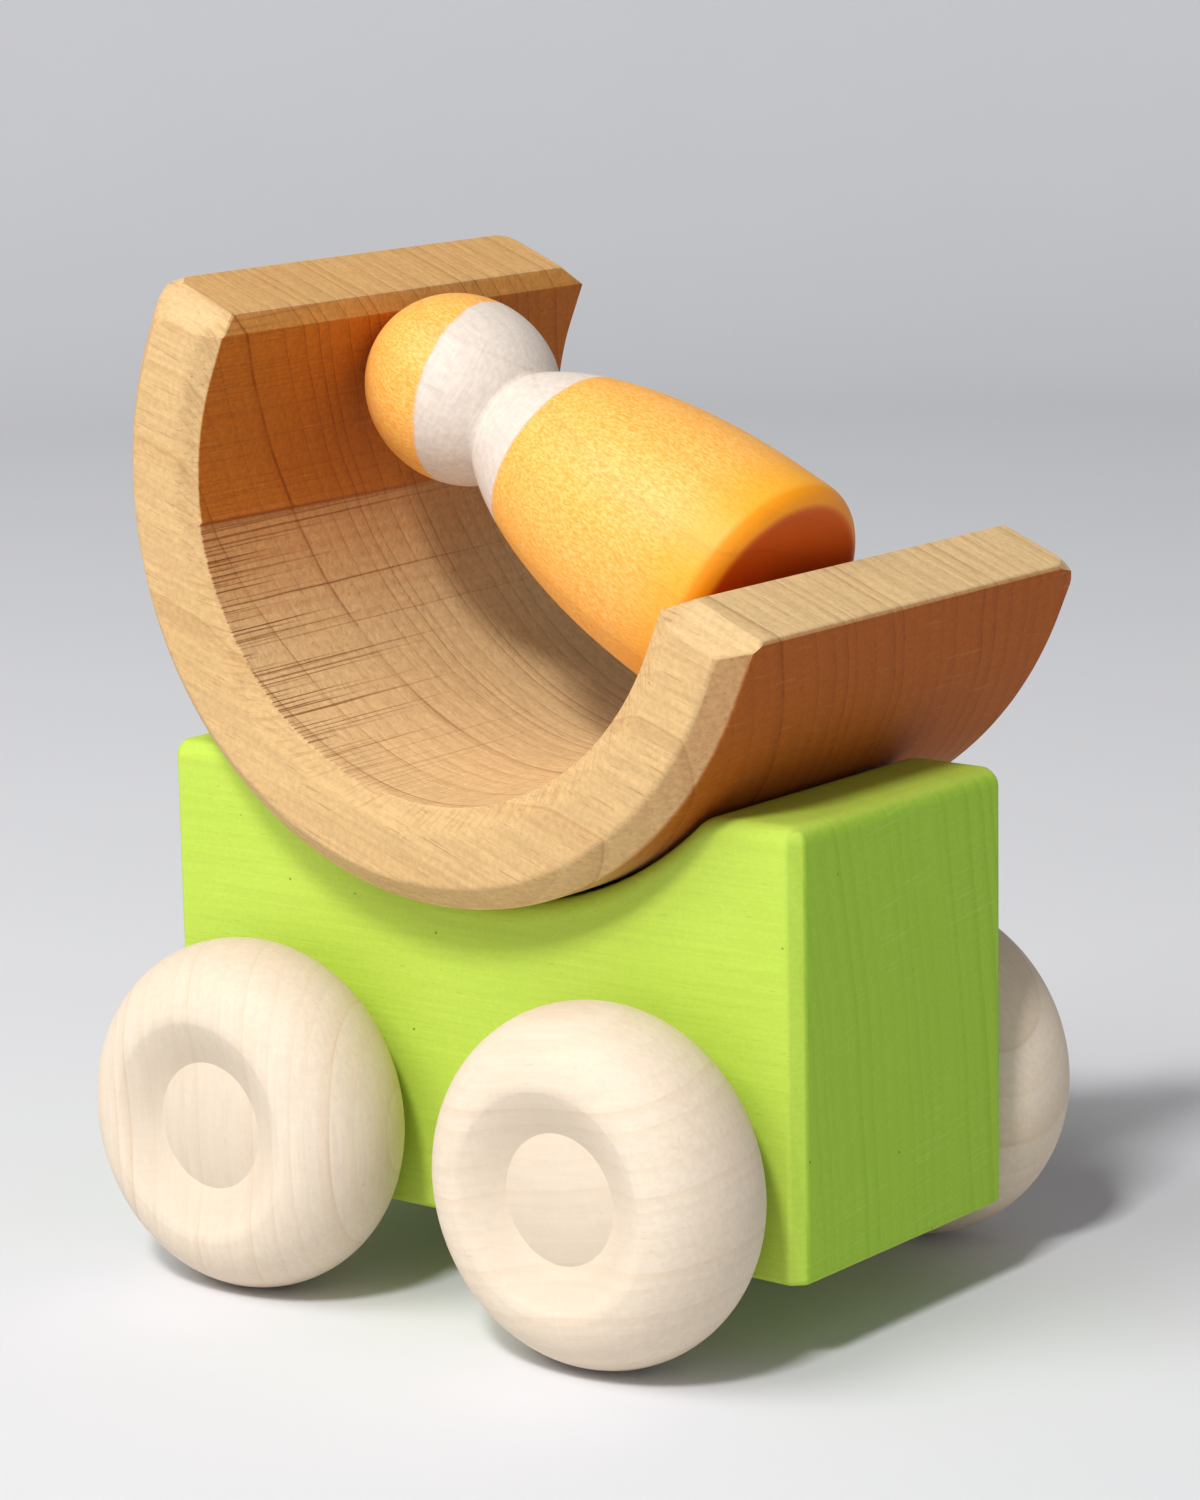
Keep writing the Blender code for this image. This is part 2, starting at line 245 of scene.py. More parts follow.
def plane_cut(bm, point, normal):
    """Takes off what lies beyond a plane, and closes the cut with flat faces."""
    whole = bm.verts[:] + bm.edges[:] + bm.faces[:]
    cut = bmesh.ops.bisect_plane(bm, geom=whole, plane_co=point, plane_no=normal, clear_outer=True)
    edges = [part for part in cut["geom_cut"] if isinstance(part, bmesh.types.BMEdge)]
    if edges:
        bmesh.ops.edgeloop_fill(bm, edges=edges)


def round_edge(bm, first, second, radius):
    """Rounds the edge where two planes meet, by planes between them. A plane is a normal and a distance."""
    (normal_1, distance_1), (normal_2, distance_2) = first, second
    depth_1, depth_2 = distance_1 - radius, distance_2 - radius
    lean = normal_1.dot(normal_2)
    share_1 = (depth_1 - lean * depth_2) / (1 - lean**2)
    share_2 = (depth_2 - lean * depth_1) / (1 - lean**2)
    centre = normal_1 * share_1 + normal_2 * share_2
    for i in range(ROUNDING_CUTS):
        normal = normal_1.slerp(normal_2, (i + 1) / (ROUNDING_CUTS + 1))
        plane_cut(bm, centre + normal * radius, normal)


def round_outline(points, insets, steps):
    """A closed outline with every corner rounded, from its inset before it to its inset after it."""
    rounded = []
    neighbours = zip(points[-1:] + points[:-1], points, points[1:] + points[:1], insets)
    for before, corner, after, inset in neighbours:
        to_before, to_after = Vector(before) - Vector(corner), Vector(after) - Vector(corner)
        start = Vector(corner) + to_before.normalized() * inset
        end = Vector(corner) + to_after.normalized() * inset
        rounded += soft_corner(start, corner, end, steps)
    return rounded


def rim_edges(bm, direction):
    """Edges where an upright face meets a face that looks up (1) or down (-1)."""
    upright = 0.01
    found = []
    for edge in bm.edges:
        side, cap = sorted((face.normal.z for face in edge.link_faces), key=abs)
        if abs(side) < upright and cap * direction > upright:
            found.append(edge)
    return found


class Finish:
    """A material's node graph. An input is a plain value or a socket of an earlier node."""

    def __init__(self, name, own_frame=Matrix.Identity(4)):
        self.material = bpy.data.materials.new(name)
        self.material.use_nodes = True
        self.tree = self.material.node_tree
        self.surface = self.tree.nodes["Principled BSDF"]
        self.turn = own_frame.to_3x3()
        coordinates = self.node("ShaderNodeTexCoord")
        in_mm = (1 / MM, 1 / MM, 1 / MM)
        start = tuple(-own_frame.translation / MM)
        self.place = self.vector("MULTIPLY_ADD", coordinates.outputs["Object"], in_mm, start)
        self.facing = coordinates.outputs["Normal"]

    def put(self, socket, value):
        """Links the value to the socket if it is a socket too, or else writes it in."""
        if isinstance(value, bpy.types.NodeSocket):
            self.tree.links.new(value, socket)
        else:
            socket.default_value = value

    def node(self, kind, inputs=None, **settings):
        """A new node with its settings and its inputs, by name or by number."""
        made = self.tree.nodes.new(kind)
        for name, value in settings.items():
            setattr(made, name, value)
        for socket, value in (inputs or {}).items():
            self.put(made.inputs[socket], value)
        return made

    def math(self, operation, *values):
        return self.node("ShaderNodeMath", dict(enumerate(values)), operation=operation).outputs[0]

    def times(self, first, *others):
        """Values multiplied together."""
        for value in others:
            first = self.math("MULTIPLY", first, value)
        return first

    def vector(self, operation, *values):
        made = self.node("ShaderNodeVectorMath", dict(enumerate(values)), operation=operation)
        return made.outputs["Value" if operation in ("DOT_PRODUCT", "LENGTH") else "Vector"]

    def along(self, direction, vector=None):
        """How far a place lies along a direction of the piece's own frame."""
        turned_direction = self.turn @ Vector(direction).normalized()
        return self.vector("DOT_PRODUCT", vector or self.place, tuple(turned_direction))

    def coordinates(self):
        """How far a place lies along each axis of the piece's own frame."""
        return [self.along(axis) for axis in ((1, 0, 0), (0, 1, 0), (0, 0, 1))]

    def pack(self, x, y, z):
        return self.node("ShaderNodeCombineXYZ", {0: x, 1: y, 2: z}).outputs[0]

    def noise(self, vector, scale, detail, roughness=0.5):
        inputs = {"Vector": vector, "Scale": scale, "Detail": detail, "Roughness": roughness}
        return self.node("ShaderNodeTexNoise", inputs).outputs[0]

    def step(self, value, low, high, out_low=0.0, out_high=1.0):
        """A soft step from out_low, where value is low, to out_high, where it is high."""
        inputs = {0: value, 1: low, 2: high, 3: out_low, 4: out_high}
        return self.node("ShaderNodeMapRange", inputs, interpolation_type="SMOOTHSTEP").outputs[0]

    def band(self, value, start, full, fade, end):
        """1 where value lies between full and fade, and 0 before start and after end."""
        return self.times(self.step(value, start, full), self.step(value, fade, end, 1.0, 0.0))

    def mix(self, share, first, second, blend="MIX"):
        """The first colour, blended with the second by a share."""
        made = self.node("ShaderNodeMix", data_type="RGBA", blend_type=blend)
        for socket, value in zip((made.inputs[0], made.inputs[6], made.inputs[7]), (share, first, second)):
            self.put(socket, (*value, 1) if isinstance(value, tuple) else value)
        return made.outputs[2]

    def shade(self, colour, amount):
        """The colour made lighter where amount is over 1 and darker where it is under 1."""
        inputs = {"Vector": colour, "Scale": amount}
        return self.node("ShaderNodeVectorMath", inputs, operation="SCALE").outputs["Vector"]

    def finish(self, colour, roughness, height, depth, specular=0.35):
        self.put(self.surface.inputs["Base Color"], colour)
        self.put(self.surface.inputs["Roughness"], roughness)
        self.surface.inputs["Specular IOR Level"].default_value = specular
        bump = self.node("ShaderNodeBump", {"Height": height, "Distance": depth * MM})
        self.put(self.surface.inputs["Normal"], bump.outputs[0])
        return self.material


class Wood(Finish):
    """Solid wood. The grain runs along one direction, and growth rings lie across another."""

    def __init__(self, name, own_frame, grain, rings, pith, spacing, wave, seed):
        super().__init__(name, own_frame)
        grain = Vector(grain).normalized()
        rings = (Vector(rings) - grain * grain.dot(Vector(rings))).normalized()
        directions = (rings, grain.cross(rings), grain)
        self.across, self.beside, self.lengthwise = (self.along(d) for d in directions)
        self.seed = seed
        count = self.ring_count(pith, spacing, wave)
        phase = self.math("FRACT", count)
        lot = self.lots(self.math("FLOOR", count))["Value"]
        late = self.band(phase, LATE_START, LINE_PEAK, LINE_PEAK, 1.0)
        line = self.band(phase, LINE_START, LINE_PEAK, LINE_PEAK, LINE_END)
        broken = self.step(self.fibres(0.2, 0.05, 1.0), 0.3, 0.6, 0.25, 1.0)
        self.late = self.times(late, self.step(lot, 0.0, 1.0, 0.3, 1.0))
        self.line = self.times(line, broken, self.step(lot, 0.2, 1.0, 0.18, 1.0))
        end = self.along(grain, self.facing)
        self.end_grain = self.times(end, end)

    def ring_count(self, pith, spacing, wave):
        """How many growth rings lie between the pith and a place. They waver and differ in width."""
        lengthwise = self.math("MULTIPLY_ADD", self.lengthwise, 0.3, 40.0 * self.seed)
        sway = self.noise(self.pack(self.across, self.beside, lengthwise), 0.045, 2)
        drift = self.times(self.math("SUBTRACT", sway, 0.5), wave)
        radial = self.pack(self.math("ADD", self.across, pith), self.beside, 0.0)
        depth = self.math("ADD", self.vector("LENGTH", radial), drift)
        uneven = self.noise(self.pack(self.times(depth, 0.5 / spacing), 0.0, 7.0 * self.seed), 1.0, 1)
        return self.math("DIVIDE", self.math("MULTIPLY_ADD", uneven, 2.2 * spacing, depth), spacing)

    def lots(self, number):
        """A random value and a random colour for each whole number."""
        return self.node("ShaderNodeTexWhiteNoise", {"W": number}, noise_dimensions="1D").outputs

    def fibres(self, across, lengthwise, detail=3.0):
        """Streaks along the grain, so many to a millimetre across it and along it."""
        place = self.pack(
            self.times(self.across, across),
            self.times(self.beside, across),
            self.math("MULTIPLY_ADD", self.lengthwise, lengthwise, 11.0 * self.seed),
        )
        return self.noise(place, 1.0, detail, 0.6)

    def rays(self, across, lengthwise):
        """Fine hatching across the rings, so many to a millimetre across them and along the grain."""
        place = self.pack(
            self.times(self.across, across),
            self.times(self.beside, lengthwise),
            self.math("MULTIPLY_ADD", self.lengthwise, lengthwise, 5.0 * self.seed),
        )
        return self.noise(place, 1.0, 2.0, 0.6)

    def pores(self, across, lengthwise, start, full):
        """Short dark vessels along the grain."""
        return self.step(self.fibres(across, lengthwise, 1.0), start, full)

    def specks(self, size, cell, share):
        """Dots of a size in millimetres, in a share of the cells of a mesh."""
        cells = self.node("ShaderNodeTexVoronoi", {"Vector": self.place, "Scale": 1 / cell}).outputs
        lot = self.node("ShaderNodeTexWhiteNoise", {"Vector": cells["Color"]}, noise_dimensions="3D")
        chosen = self.math("LESS_THAN", lot.outputs[0], share)
        radius = size / 2 / cell
        return self.times(chosen, self.step(cells["Distance"], radius * 0.5, radius, 1.0, 0.0))

    def tint(self, tone, share, colour, amount):
        """The tone drawn towards a colour by a share, at most by an amount."""
        return self.mix(self.times(share, amount), tone, colour)

    def vary(self, tone, pattern, spread, low, high):
        """The tone made darker and lighter by a pattern, which swings by a spread about one half."""
        return self.shade(tone, self.step(pattern, 0.5 - spread, 0.5 + spread, low, high))


def maple(name, own_frame, grain, rings, spacing, pith, lines, seed):
    """Pale turned maple, sanded and left raw. lines says how dark the thin growth lines are."""
    dark, light = (0.735, 0.61, 0.465), (0.78, 0.675, 0.55)
    late_tone, line_tone, end_tone = (0.66, 0.49, 0.32), (0.56, 0.37, 0.20), (0.71, 0.565, 0.41)
    fleck_tone, speck_tone, hub_recess_shade_tone = (0.50, 0.33, 0.18), (0.48, 0.30, 0.12), (0.60, 0.50, 0.38)
    wood = Wood(name, own_frame, grain, rings, pith, spacing, 3.0, seed)
    streaks = wood.fibres(1.7, 0.08)
    rays = wood.rays(0.25, 1.7)
    flecks = wood.pores(3.4, 0.5, 0.70, 0.80)
    tone = wood.mix(wood.noise(wood.place, 0.08, 2), dark, light)
    tone = wood.tint(tone, wood.late, late_tone, 0.30)
    tone = wood.tint(tone, wood.line, line_tone, lines)
    tone = wood.tint(tone, wood.end_grain, end_tone, 0.35)
    tone = wood.tint(tone, flecks, fleck_tone, 0.25)
    tone = wood.tint(tone, wood.specks(0.6, 5.0, 0.06), speck_tone, 0.55)
    tone = wood.vary(tone, streaks, 0.2, 0.965, 1.03)
    tone = wood.vary(tone, rays, 0.2, 0.985, 1.012)
    tone = wood.vary(tone, wood.noise(wood.place, 3.2, 2, 0.7), 0.2, 0.985, 1.012)
    x, y, z = wood.coordinates()
    from_axle = wood.vector("LENGTH", wood.pack(x, y, 0.0))
    # Painted shade: the hub and the dish round it are darker on the outer face, out to the fade.
    hub_recess_shade = wood.times(wood.step(from_axle, *HUB_RECESS_SHADE_FADE, 1.0, 0.0), wood.step(z, 0.0, 2.0))
    tone = wood.tint(tone, hub_recess_shade, hub_recess_shade_tone, 0.40)
    height = wood.math("MULTIPLY_ADD", flecks, -0.5, wood.math("ADD", streaks, rays))
    return wood.finish(tone, wood.step(streaks, 0.3, 0.7, 0.52, 0.64), height, 0.02, 0.3)


def green_wood():
    """Maple dyed yellow-green. The dye goes deeper into the end grain and the late wood."""
    dark, light, end_tone = (0.47, 0.65, 0.070), (0.52, 0.69, 0.092), (0.335, 0.56, 0.04)
    stripe_tone, fleck_tone = (0.25, 0.46, 0.025), (0.22, 0.34, 0.02)
    mark_tone, dot_tone = (0.50, 0.72, 0.16), (0.10, 0.14, 0.01)
    wood = Wood("green_dyed_maple", Matrix.Identity(4), (1, 0, 0.01), (0, 1, 0.03), 400.0, 2.2, 2.0, 3)
    streaks = wood.fibres(1.8, 0.06)
    end = wood.step(wood.end_grain, 0.3, 0.95)
    tone = wood.mix(wood.noise(wood.place, 0.06, 3), dark, light)
    tone = wood.tint(tone, end, end_tone, 0.9)
    stripes = wood.times(wood.late, wood.step(end, 0.0, 1.0, 0.08, 0.42))
    tone = wood.mix(stripes, tone, stripe_tone)
    flecks = wood.times(wood.pores(3.4, 0.45, 0.69, 0.80), wood.step(end, 0.0, 1.0, 0.30, 0.06))
    tone = wood.mix(flecks, tone, fleck_tone)
    marks = wood.times(end_saw_marks(wood), end)
    tone = wood.tint(tone, marks, mark_tone, 0.30)
    dots = wood.specks(0.42, 2.6, 0.13)
    tone = wood.tint(tone, dots, dot_tone, 0.65)
    tone = wood.vary(tone, streaks, 0.25, 0.97, 1.03)
    tone = wood.vary(tone, wood.noise(wood.place, 2.2, 3, 0.7), 0.2, 0.965, 1.02)
    height = wood.math("MULTIPLY_ADD", dots, -1.5, wood.math("MULTIPLY_ADD", marks, 0.5, streaks))
    return wood.finish(tone, wood.step(streaks, 0.25, 0.75, 0.58, 0.68), height, 0.04, 0.2)


def end_saw_marks(wood):
    """Patches of fine saw marks across the block's ends, rising a little to one side."""
    rise = 0.12
    upward, sideways = wood.along((0, -rise, 1)), wood.along((0, 1, rise))
    saw = wood.noise(wood.pack(upward, wood.times(sideways, 0.025), 0.0), 3.2, 2)
    patch = wood.step(wood.noise(wood.place, 0.05, 1), 0.40, 0.66)
    return wood.times(wood.step(saw, 0.54, 0.72), patch)


class ArchPlace:
    """Where a point of the arch lies: along its axes, round its ring, and on which of its faces."""

    def __init__(self, wood):
        self.x, self.y, self.z = wood.coordinates()
        side = wood.along((0, 1, 0), wood.facing)
        self.side = wood.times(side, side)
        self.up = wood.along((0, 0, 1), wood.facing)
        self.flat_end = wood.step(self.up, 0.88, 0.97)
        self.curved = wood.step(self.side, 0.2, 0.7, 1.0, 0.0)
        turn = wood.math("ARCTAN2", wood.times(self.z, -1.0), wood.times(self.x, -1.0))
        self.sweep = wood.times(turn, SWEEP_RADIUS)
        self.below_ledge = wood.step(self.sweep, LEDGE_SWEEP - 0.3, LEDGE_SWEEP + 0.3)
        self.radius = wood.vector("LENGTH", wood.pack(self.x, 0.0, self.z))
        self.inside = wood.step(self.radius, *INNER_FADE, 1.0, 0.0)
        self.inner_wall = wood.times(self.inside, self.curved)


def arch_ends(wood, at, tone):
    """Deeper tones on end grain: inside and outside the legs, on the ends' chamfers and on the rear end.
    The front leg's outer wall is darker than the rear's as painted shade, and the rear leg's inner wall
    below the ledge is paler as painted light.
    """
    inner_tone, rear_outer, front_outer_shaded = (0.52, 0.160, 0.016), (0.52, 0.255, 0.085), (0.41, 0.100, 0.008)
    chamfer_tone, rear_tone = (0.58, 0.24, 0.040), (0.64, 0.33, 0.10)
    # Painted shade: the front leg's outer wall takes a darker tone than the rear leg's.
    outer_tone = wood.mix(wood.step(at.x, -10.0, 10.0), rear_outer, front_outer_shaded)
    end_tone = wood.mix(wood.step(at.radius, *OUTER_FADE), inner_tone, outer_tone)
    # Painted light: on the rear leg's inner wall below the ledge, the end grain's darkening is cut back.
    painted_light_below_ledge = wood.times(at.below_ledge, at.inner_wall, wood.step(at.x, -10.0, 0.0, 0.38, 0.0))
    share = wood.times(wood.step(wood.end_grain, 0.25, 0.85), wood.math("SUBTRACT", 1.0, painted_light_below_ledge))
    tone = wood.mix(share, tone, end_tone)
    sloping = wood.band(at.up, 0.55, 0.65, 0.78, 0.88)
    chamfer = wood.times(sloping, wood.step(at.z, 2.0, 4.0), at.inside)
    tone = wood.tint(tone, chamfer, chamfer_tone, 0.8)
    rear_end = wood.times(at.flat_end, wood.step(at.x, *REAR_LEG_FADE, 1.0, 0.0), wood.step(at.z, 4.0, 5.0))
    return wood.tint(tone, rear_end, rear_tone, 0.65)


def arch_growth(wood, at, tone):
    """Growth bands and lines, which show most on the inner wall and least on the side faces."""
    band_shade, line_shade = (0.62, 0.48, 0.36), (0.36, 0.19, 0.10)
    bands = wood.times(wood.late, wood.step(at.flat_end, 0.0, 1.0, 0.24, 0.30))
    tone = wood.mix(bands, tone, band_shade, "MULTIPLY")
    seen = wood.math("ADD", wood.step(at.side, 0.05, 0.35, 0.42, 0.18), wood.times(at.inner_wall, 0.25))
    return wood.mix(wood.times(wood.line, seen), tone, line_shade, "MULTIPLY")


def saw_lines(wood, at, pitch, longest, seed):
    """Thin saw marks across the arch's inner wall, each of its own length from the right edge."""
    count = wood.math("DIVIDE", wood.math("MULTIPLY_ADD", at.y, 0.02, at.sweep), pitch)
    lots = wood.lots(wood.math("ADD", wood.math("FLOOR", count), 0.37 * seed))
    length = wood.math("MULTIPLY_ADD", wood.math("POWER", lots["Value"], 2.0), longest, SHORTEST_MARK)
    share = wood.math("DIVIDE", wood.math("ADD", at.y, ARCH_WIDTH / MM / 2), length)
    wobble = wood.noise(wood.pack(at.sweep, wood.times(at.y, 0.2), seed), 0.7, 1)
    phase = wood.math("FRACT", wood.math("MULTIPLY_ADD", wobble, 0.25, count))
    from_middle = wood.math("ABSOLUTE", wood.math("SUBTRACT", phase, 0.5))
    thin = wood.step(from_middle, 0.04, 0.18, 1.0, 0.0)
    strength = wood.step(lots["Color"], 0.2, 0.8, 0.4, 1.0)
    return wood.times(thin, strength, wood.step(share, 0.3, 1.0, 1.0, 0.0))


def saw_marks(wood, at):
    """Saw marks on the inner wall, strongest from the ledge down to where they fade at the bottom."""
    fade = wood.step(at.sweep, *SAW_MARK_FADE, 1.0, 0.25)
    zone = wood.times(wood.step(at.below_ledge, 0.0, 1.0, 0.3, 1.0), fade)
    short = saw_lines(wood, at, 0.65, 34.0, 1.0)
    long = saw_lines(wood, at, 0.95, 70.0, 2.0)
    return wood.times(wood.math("MAXIMUM", short, wood.times(long, 0.8)), at.inner_wall, zone)


def ledge_line(wood, at):
    """The dark line along the ledge, which fades towards the left: a saw nick, darkened further as painted
    shade along the step.
    """
    away = wood.math("ABSOLUTE", wood.math("SUBTRACT", at.sweep, LEDGE_SWEEP))
    near = wood.step(away, 0.1, 0.35, 1.0, 0.0)
    return wood.times(near, at.inner_wall, wood.step(at.y, -30.0, 20.0, 1.0, 0.2))


def arch_scuffs(wood, at, tone):
    """Light scratches across the curved walls, and slanting rub marks on the inner bevels."""
    scratch_tone, rub_tone = (0.76, 0.50, 0.26), (0.40, 0.20, 0.07)
    scratch = wood.noise(wood.pack(wood.times(at.sweep, 2.4), wood.times(at.y, 0.12), 7.0), 1.0, 2)
    tone = wood.tint(tone, wood.times(wood.step(scratch, 0.62, 0.74), at.curved), scratch_tone, 0.09)
    bevel = wood.band(at.side, 0.45, 0.7, 0.9, 0.98)
    slant = wood.times(wood.math("ADD", at.sweep, at.radius), 2.0)
    counter = wood.times(wood.math("SUBTRACT", at.sweep, at.radius), 0.15)
    rubbed = wood.step(wood.noise(wood.pack(slant, counter, 3.0), 1.0, 1), 0.5, 0.68)
    return wood.tint(tone, wood.times(rubbed, bevel, at.inside), rub_tone, 0.32)


def brown_wood(own_frame):
    """Oiled alder for the arch. The grain runs across it, so both legs show end grain on their faces."""
    dark, light, curved_sheen_tone = (0.61, 0.39, 0.170), (0.67, 0.45, 0.215), (0.76, 0.54, 0.28)
    vessel_tone, mark_tone, ledge_nick_and_shade_tone = (0.33, 0.15, 0.05), (0.22, 0.062, 0.010), (0.30, 0.075, 0.012)
    wood = Wood("oiled_alder", own_frame, (1, 0, 0.06), (0, 1, 0.5), 188.6, 2.4, 2.6, 11)
    at = ArchPlace(wood)
    streaks = wood.fibres(1.7, 0.07)
    vessels = wood.pores(3.2, 0.20, 0.64, 0.76)
    marks = saw_marks(wood, at)
    tone = wood.mix(wood.noise(wood.place, 0.05, 2), dark, light)
    # Painted sheen: the curved walls are drawn paler.
    tone = wood.tint(tone, at.curved, curved_sheen_tone, 0.6)
    tone = arch_ends(wood, at, tone)
    tone = arch_growth(wood, at, tone)
    tone = wood.tint(tone, vessels, vessel_tone, 0.26)
    tone = wood.tint(tone, marks, mark_tone, 0.9)
    tone = wood.tint(tone, ledge_line(wood, at), ledge_nick_and_shade_tone, 0.8)
    tone = arch_scuffs(wood, at, tone)
    tone = wood.vary(tone, streaks, 0.25, 0.91, 1.09)
    tone = wood.vary(tone, wood.noise(wood.place, 1.6, 3, 0.7), 0.25, 0.91, 1.09)
    dents = wood.math("ADD", wood.times(marks, -0.8), wood.times(vessels, -0.5))
    height = wood.math("ADD", dents, streaks)
    return wood.finish(tone, wood.step(streaks, 0.25, 0.75, 0.60, 0.72), height, 0.07, 0.18)


def pale_figure_tone(wood, streaks):
    """The bare wood of the figure's face and neck."""
    dark, light, line_tone = (0.70, 0.60, 0.515), (0.735, 0.645, 0.565), (0.45, 0.34, 0.25)
    tone = wood.mix(wood.noise(wood.place, 0.1, 2), dark, light)
    tone = wood.tint(tone, wood.line, line_tone, 0.2)
    tone = wood.vary(tone, streaks, 0.2, 0.95, 1.05)
    return wood.vary(tone, wood.rays(0.3, 2.2), 0.2, 0.95, 1.05)


def orange_dye_tone(wood, mottle):
    """The dye, mottled on the body, and deeper towards the base, on its rim and on its flat. The flat is
    darker still as painted shade.
    """
    dark, light, low_tone = (0.95, 0.36, 0.036), (0.98, 0.57, 0.155), (0.95, 0.40, 0.010)
    rim_tone, base_dye_and_shade_tone = (0.96, 0.33, 0.004), (0.68, 0.105, 0.001)
    height = wood.along((0, 0, 1))
    tone = wood.mix(wood.step(mottle, 0.30, 0.70), dark, light)
    tone = wood.tint(tone, wood.step(height, *LOW_DYE_FADE, 1.0, 0.0), low_tone, 0.85)
    low_end = wood.step(height, *BASE_DYE_FADE, 1.0, 0.0)
    tone = wood.mix(wood.times(wood.step(wood.end_grain, 0.02, 0.2), low_end), tone, rim_tone)
    # The base's flat: deeper dye in its end grain, and painted shade on top of it.
    tone = wood.mix(wood.times(wood.step(wood.end_grain, 0.75, 0.99), low_end), tone, base_dye_and_shade_tone)
    tone = wood.mix(wood.times(wood.late, 0.2), tone, wood.shade(tone, 0.75))
    return wood.mix(wood.times(wood.line, 0.16), tone, wood.shade(tone, 0.5))


def dye_reach(wood):
    """How far inside the dye's edges a place lies, on the crown or the body. They bleed a little."""
    x, y, z = wood.coordinates()
    fibre_bleed = wood.times(wood.math("SUBTRACT", wood.fibres(2.2, 0.15, 2.0), 0.5), 0.7)
    blot = wood.math("SUBTRACT", wood.noise(wood.place, 0.35, 1), 0.5)
    bleed = wood.math("MULTIPLY_ADD", blot, 0.6, fibre_bleed)
    crown_lean = wood.math("MULTIPLY_ADD", y, CROWN_DYE_LEAN[1], z)
    crown_lean = wood.math("MULTIPLY_ADD", x, CROWN_DYE_LEAN[0], crown_lean)
    crown = wood.math("SUBTRACT", wood.math("ADD", crown_lean, bleed), CROWN_DYE_HEIGHT)
    body_lean = wood.math("MULTIPLY_ADD", x, BODY_DYE_LEAN, z)
    body = wood.math("SUBTRACT", BODY_DYE_HEIGHT, wood.math("MULTIPLY_ADD", bleed, 0.7, body_lean))
    return wood.math("MAXIMUM", crown, body)


def figure_wood(own_frame):
    """Pale turned wood, dyed orange on the body and on the crown of the head."""
    stain_tone = (0.85, 0.36, 0.10)
    wood = Wood("part_dyed_maple", own_frame, (0, 0, 1), (1, 0.35, 0), 22.0, 5.0, 2.5, 5)
    streaks = wood.fibres(1.5, 0.14)
    mottle = wood.fibres(4.4, 1.4)
    pale = pale_figure_tone(wood, streaks)
    dyed = dye_reach(wood)
    tone = wood.mix(wood.step(dyed, -0.3, 0.0), pale, wood.mix(0.5, pale, stain_tone))
    tone = wood.mix(wood.step(dyed, -0.15, 0.25), tone, orange_dye_tone(wood, mottle))
    height = wood.math("ADD", streaks, wood.times(mottle, 0.5))
    gloss = wood.step(dyed, -0.2, 0.25, 0.64, 0.44)
    return wood.finish(tone, wood.math("MULTIPLY_ADD", mottle, 0.1, gloss), height, 0.04, 0.4)


def dowel_wood():
    """Plain beech for the axles."""
    light, late_tone, fleck_tone = (0.62, 0.44, 0.27), (0.48, 0.31, 0.17), (0.38, 0.23, 0.12)
    wood = Wood("beech_dowel", Matrix.Identity(4), (0, 1, 0), (1, 0, 0.4), 60.0, 2.0, 3.0, 8)
    tone = wood.mix(wood.times(wood.late, 0.4), light, late_tone)
    flecks = wood.pores(2.4, 0.3, 0.62, 0.74)
    tone = wood.tint(tone, flecks, fleck_tone, 0.5)
    return wood.finish(tone, 0.55, wood.math("SUBTRACT", 1.0, flecks), 0.05)


def arch_frame():
    """The arch's own frame: its axis along Y, its legs up Z."""
    return Matrix.Translation(JOINTS["arch_rock"]["pos_m"]) @ Matrix.Rotation(ARCH_TILT, 4, "Y")


def arch_outer_radius():
    return JOINTS["arch_rock"]["pos_m"][2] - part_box("rocking_arch")[0].z


def block_outline(low, high):
    """Side view of the block with its saddle, as (x, z) points from the rear bottom corner."""
    saddle_radius = arch_outer_radius() + SADDLE_EASE
    centre_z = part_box("rocking_arch")[0].z - SEAT_GAP + saddle_radius
    lip_z = high.z - SADDLE_LIP_ROUND
    lip_x = sqrt((saddle_radius + SADDLE_LIP_ROUND) ** 2 - (centre_z - lip_z) ** 2)
    swing = atan2(lip_x, centre_z - lip_z)
    front_lip = arc((lip_x, lip_z), SADDLE_LIP_ROUND, pi / 2, pi / 2 + swing, SADDLE_STEPS // 6)
    saddle = arc((0, centre_z), saddle_radius, swing - pi / 2, -swing - pi / 2, SADDLE_STEPS)
    rear_lip = [(-x, z) for x, z in reversed(front_lip)]
    ends = [(low.x, low.z), (high.x, low.z), (high.x, high.z)]
    return ends + front_lip + saddle[1:-1] + rear_lip + [(low.x, high.z)]


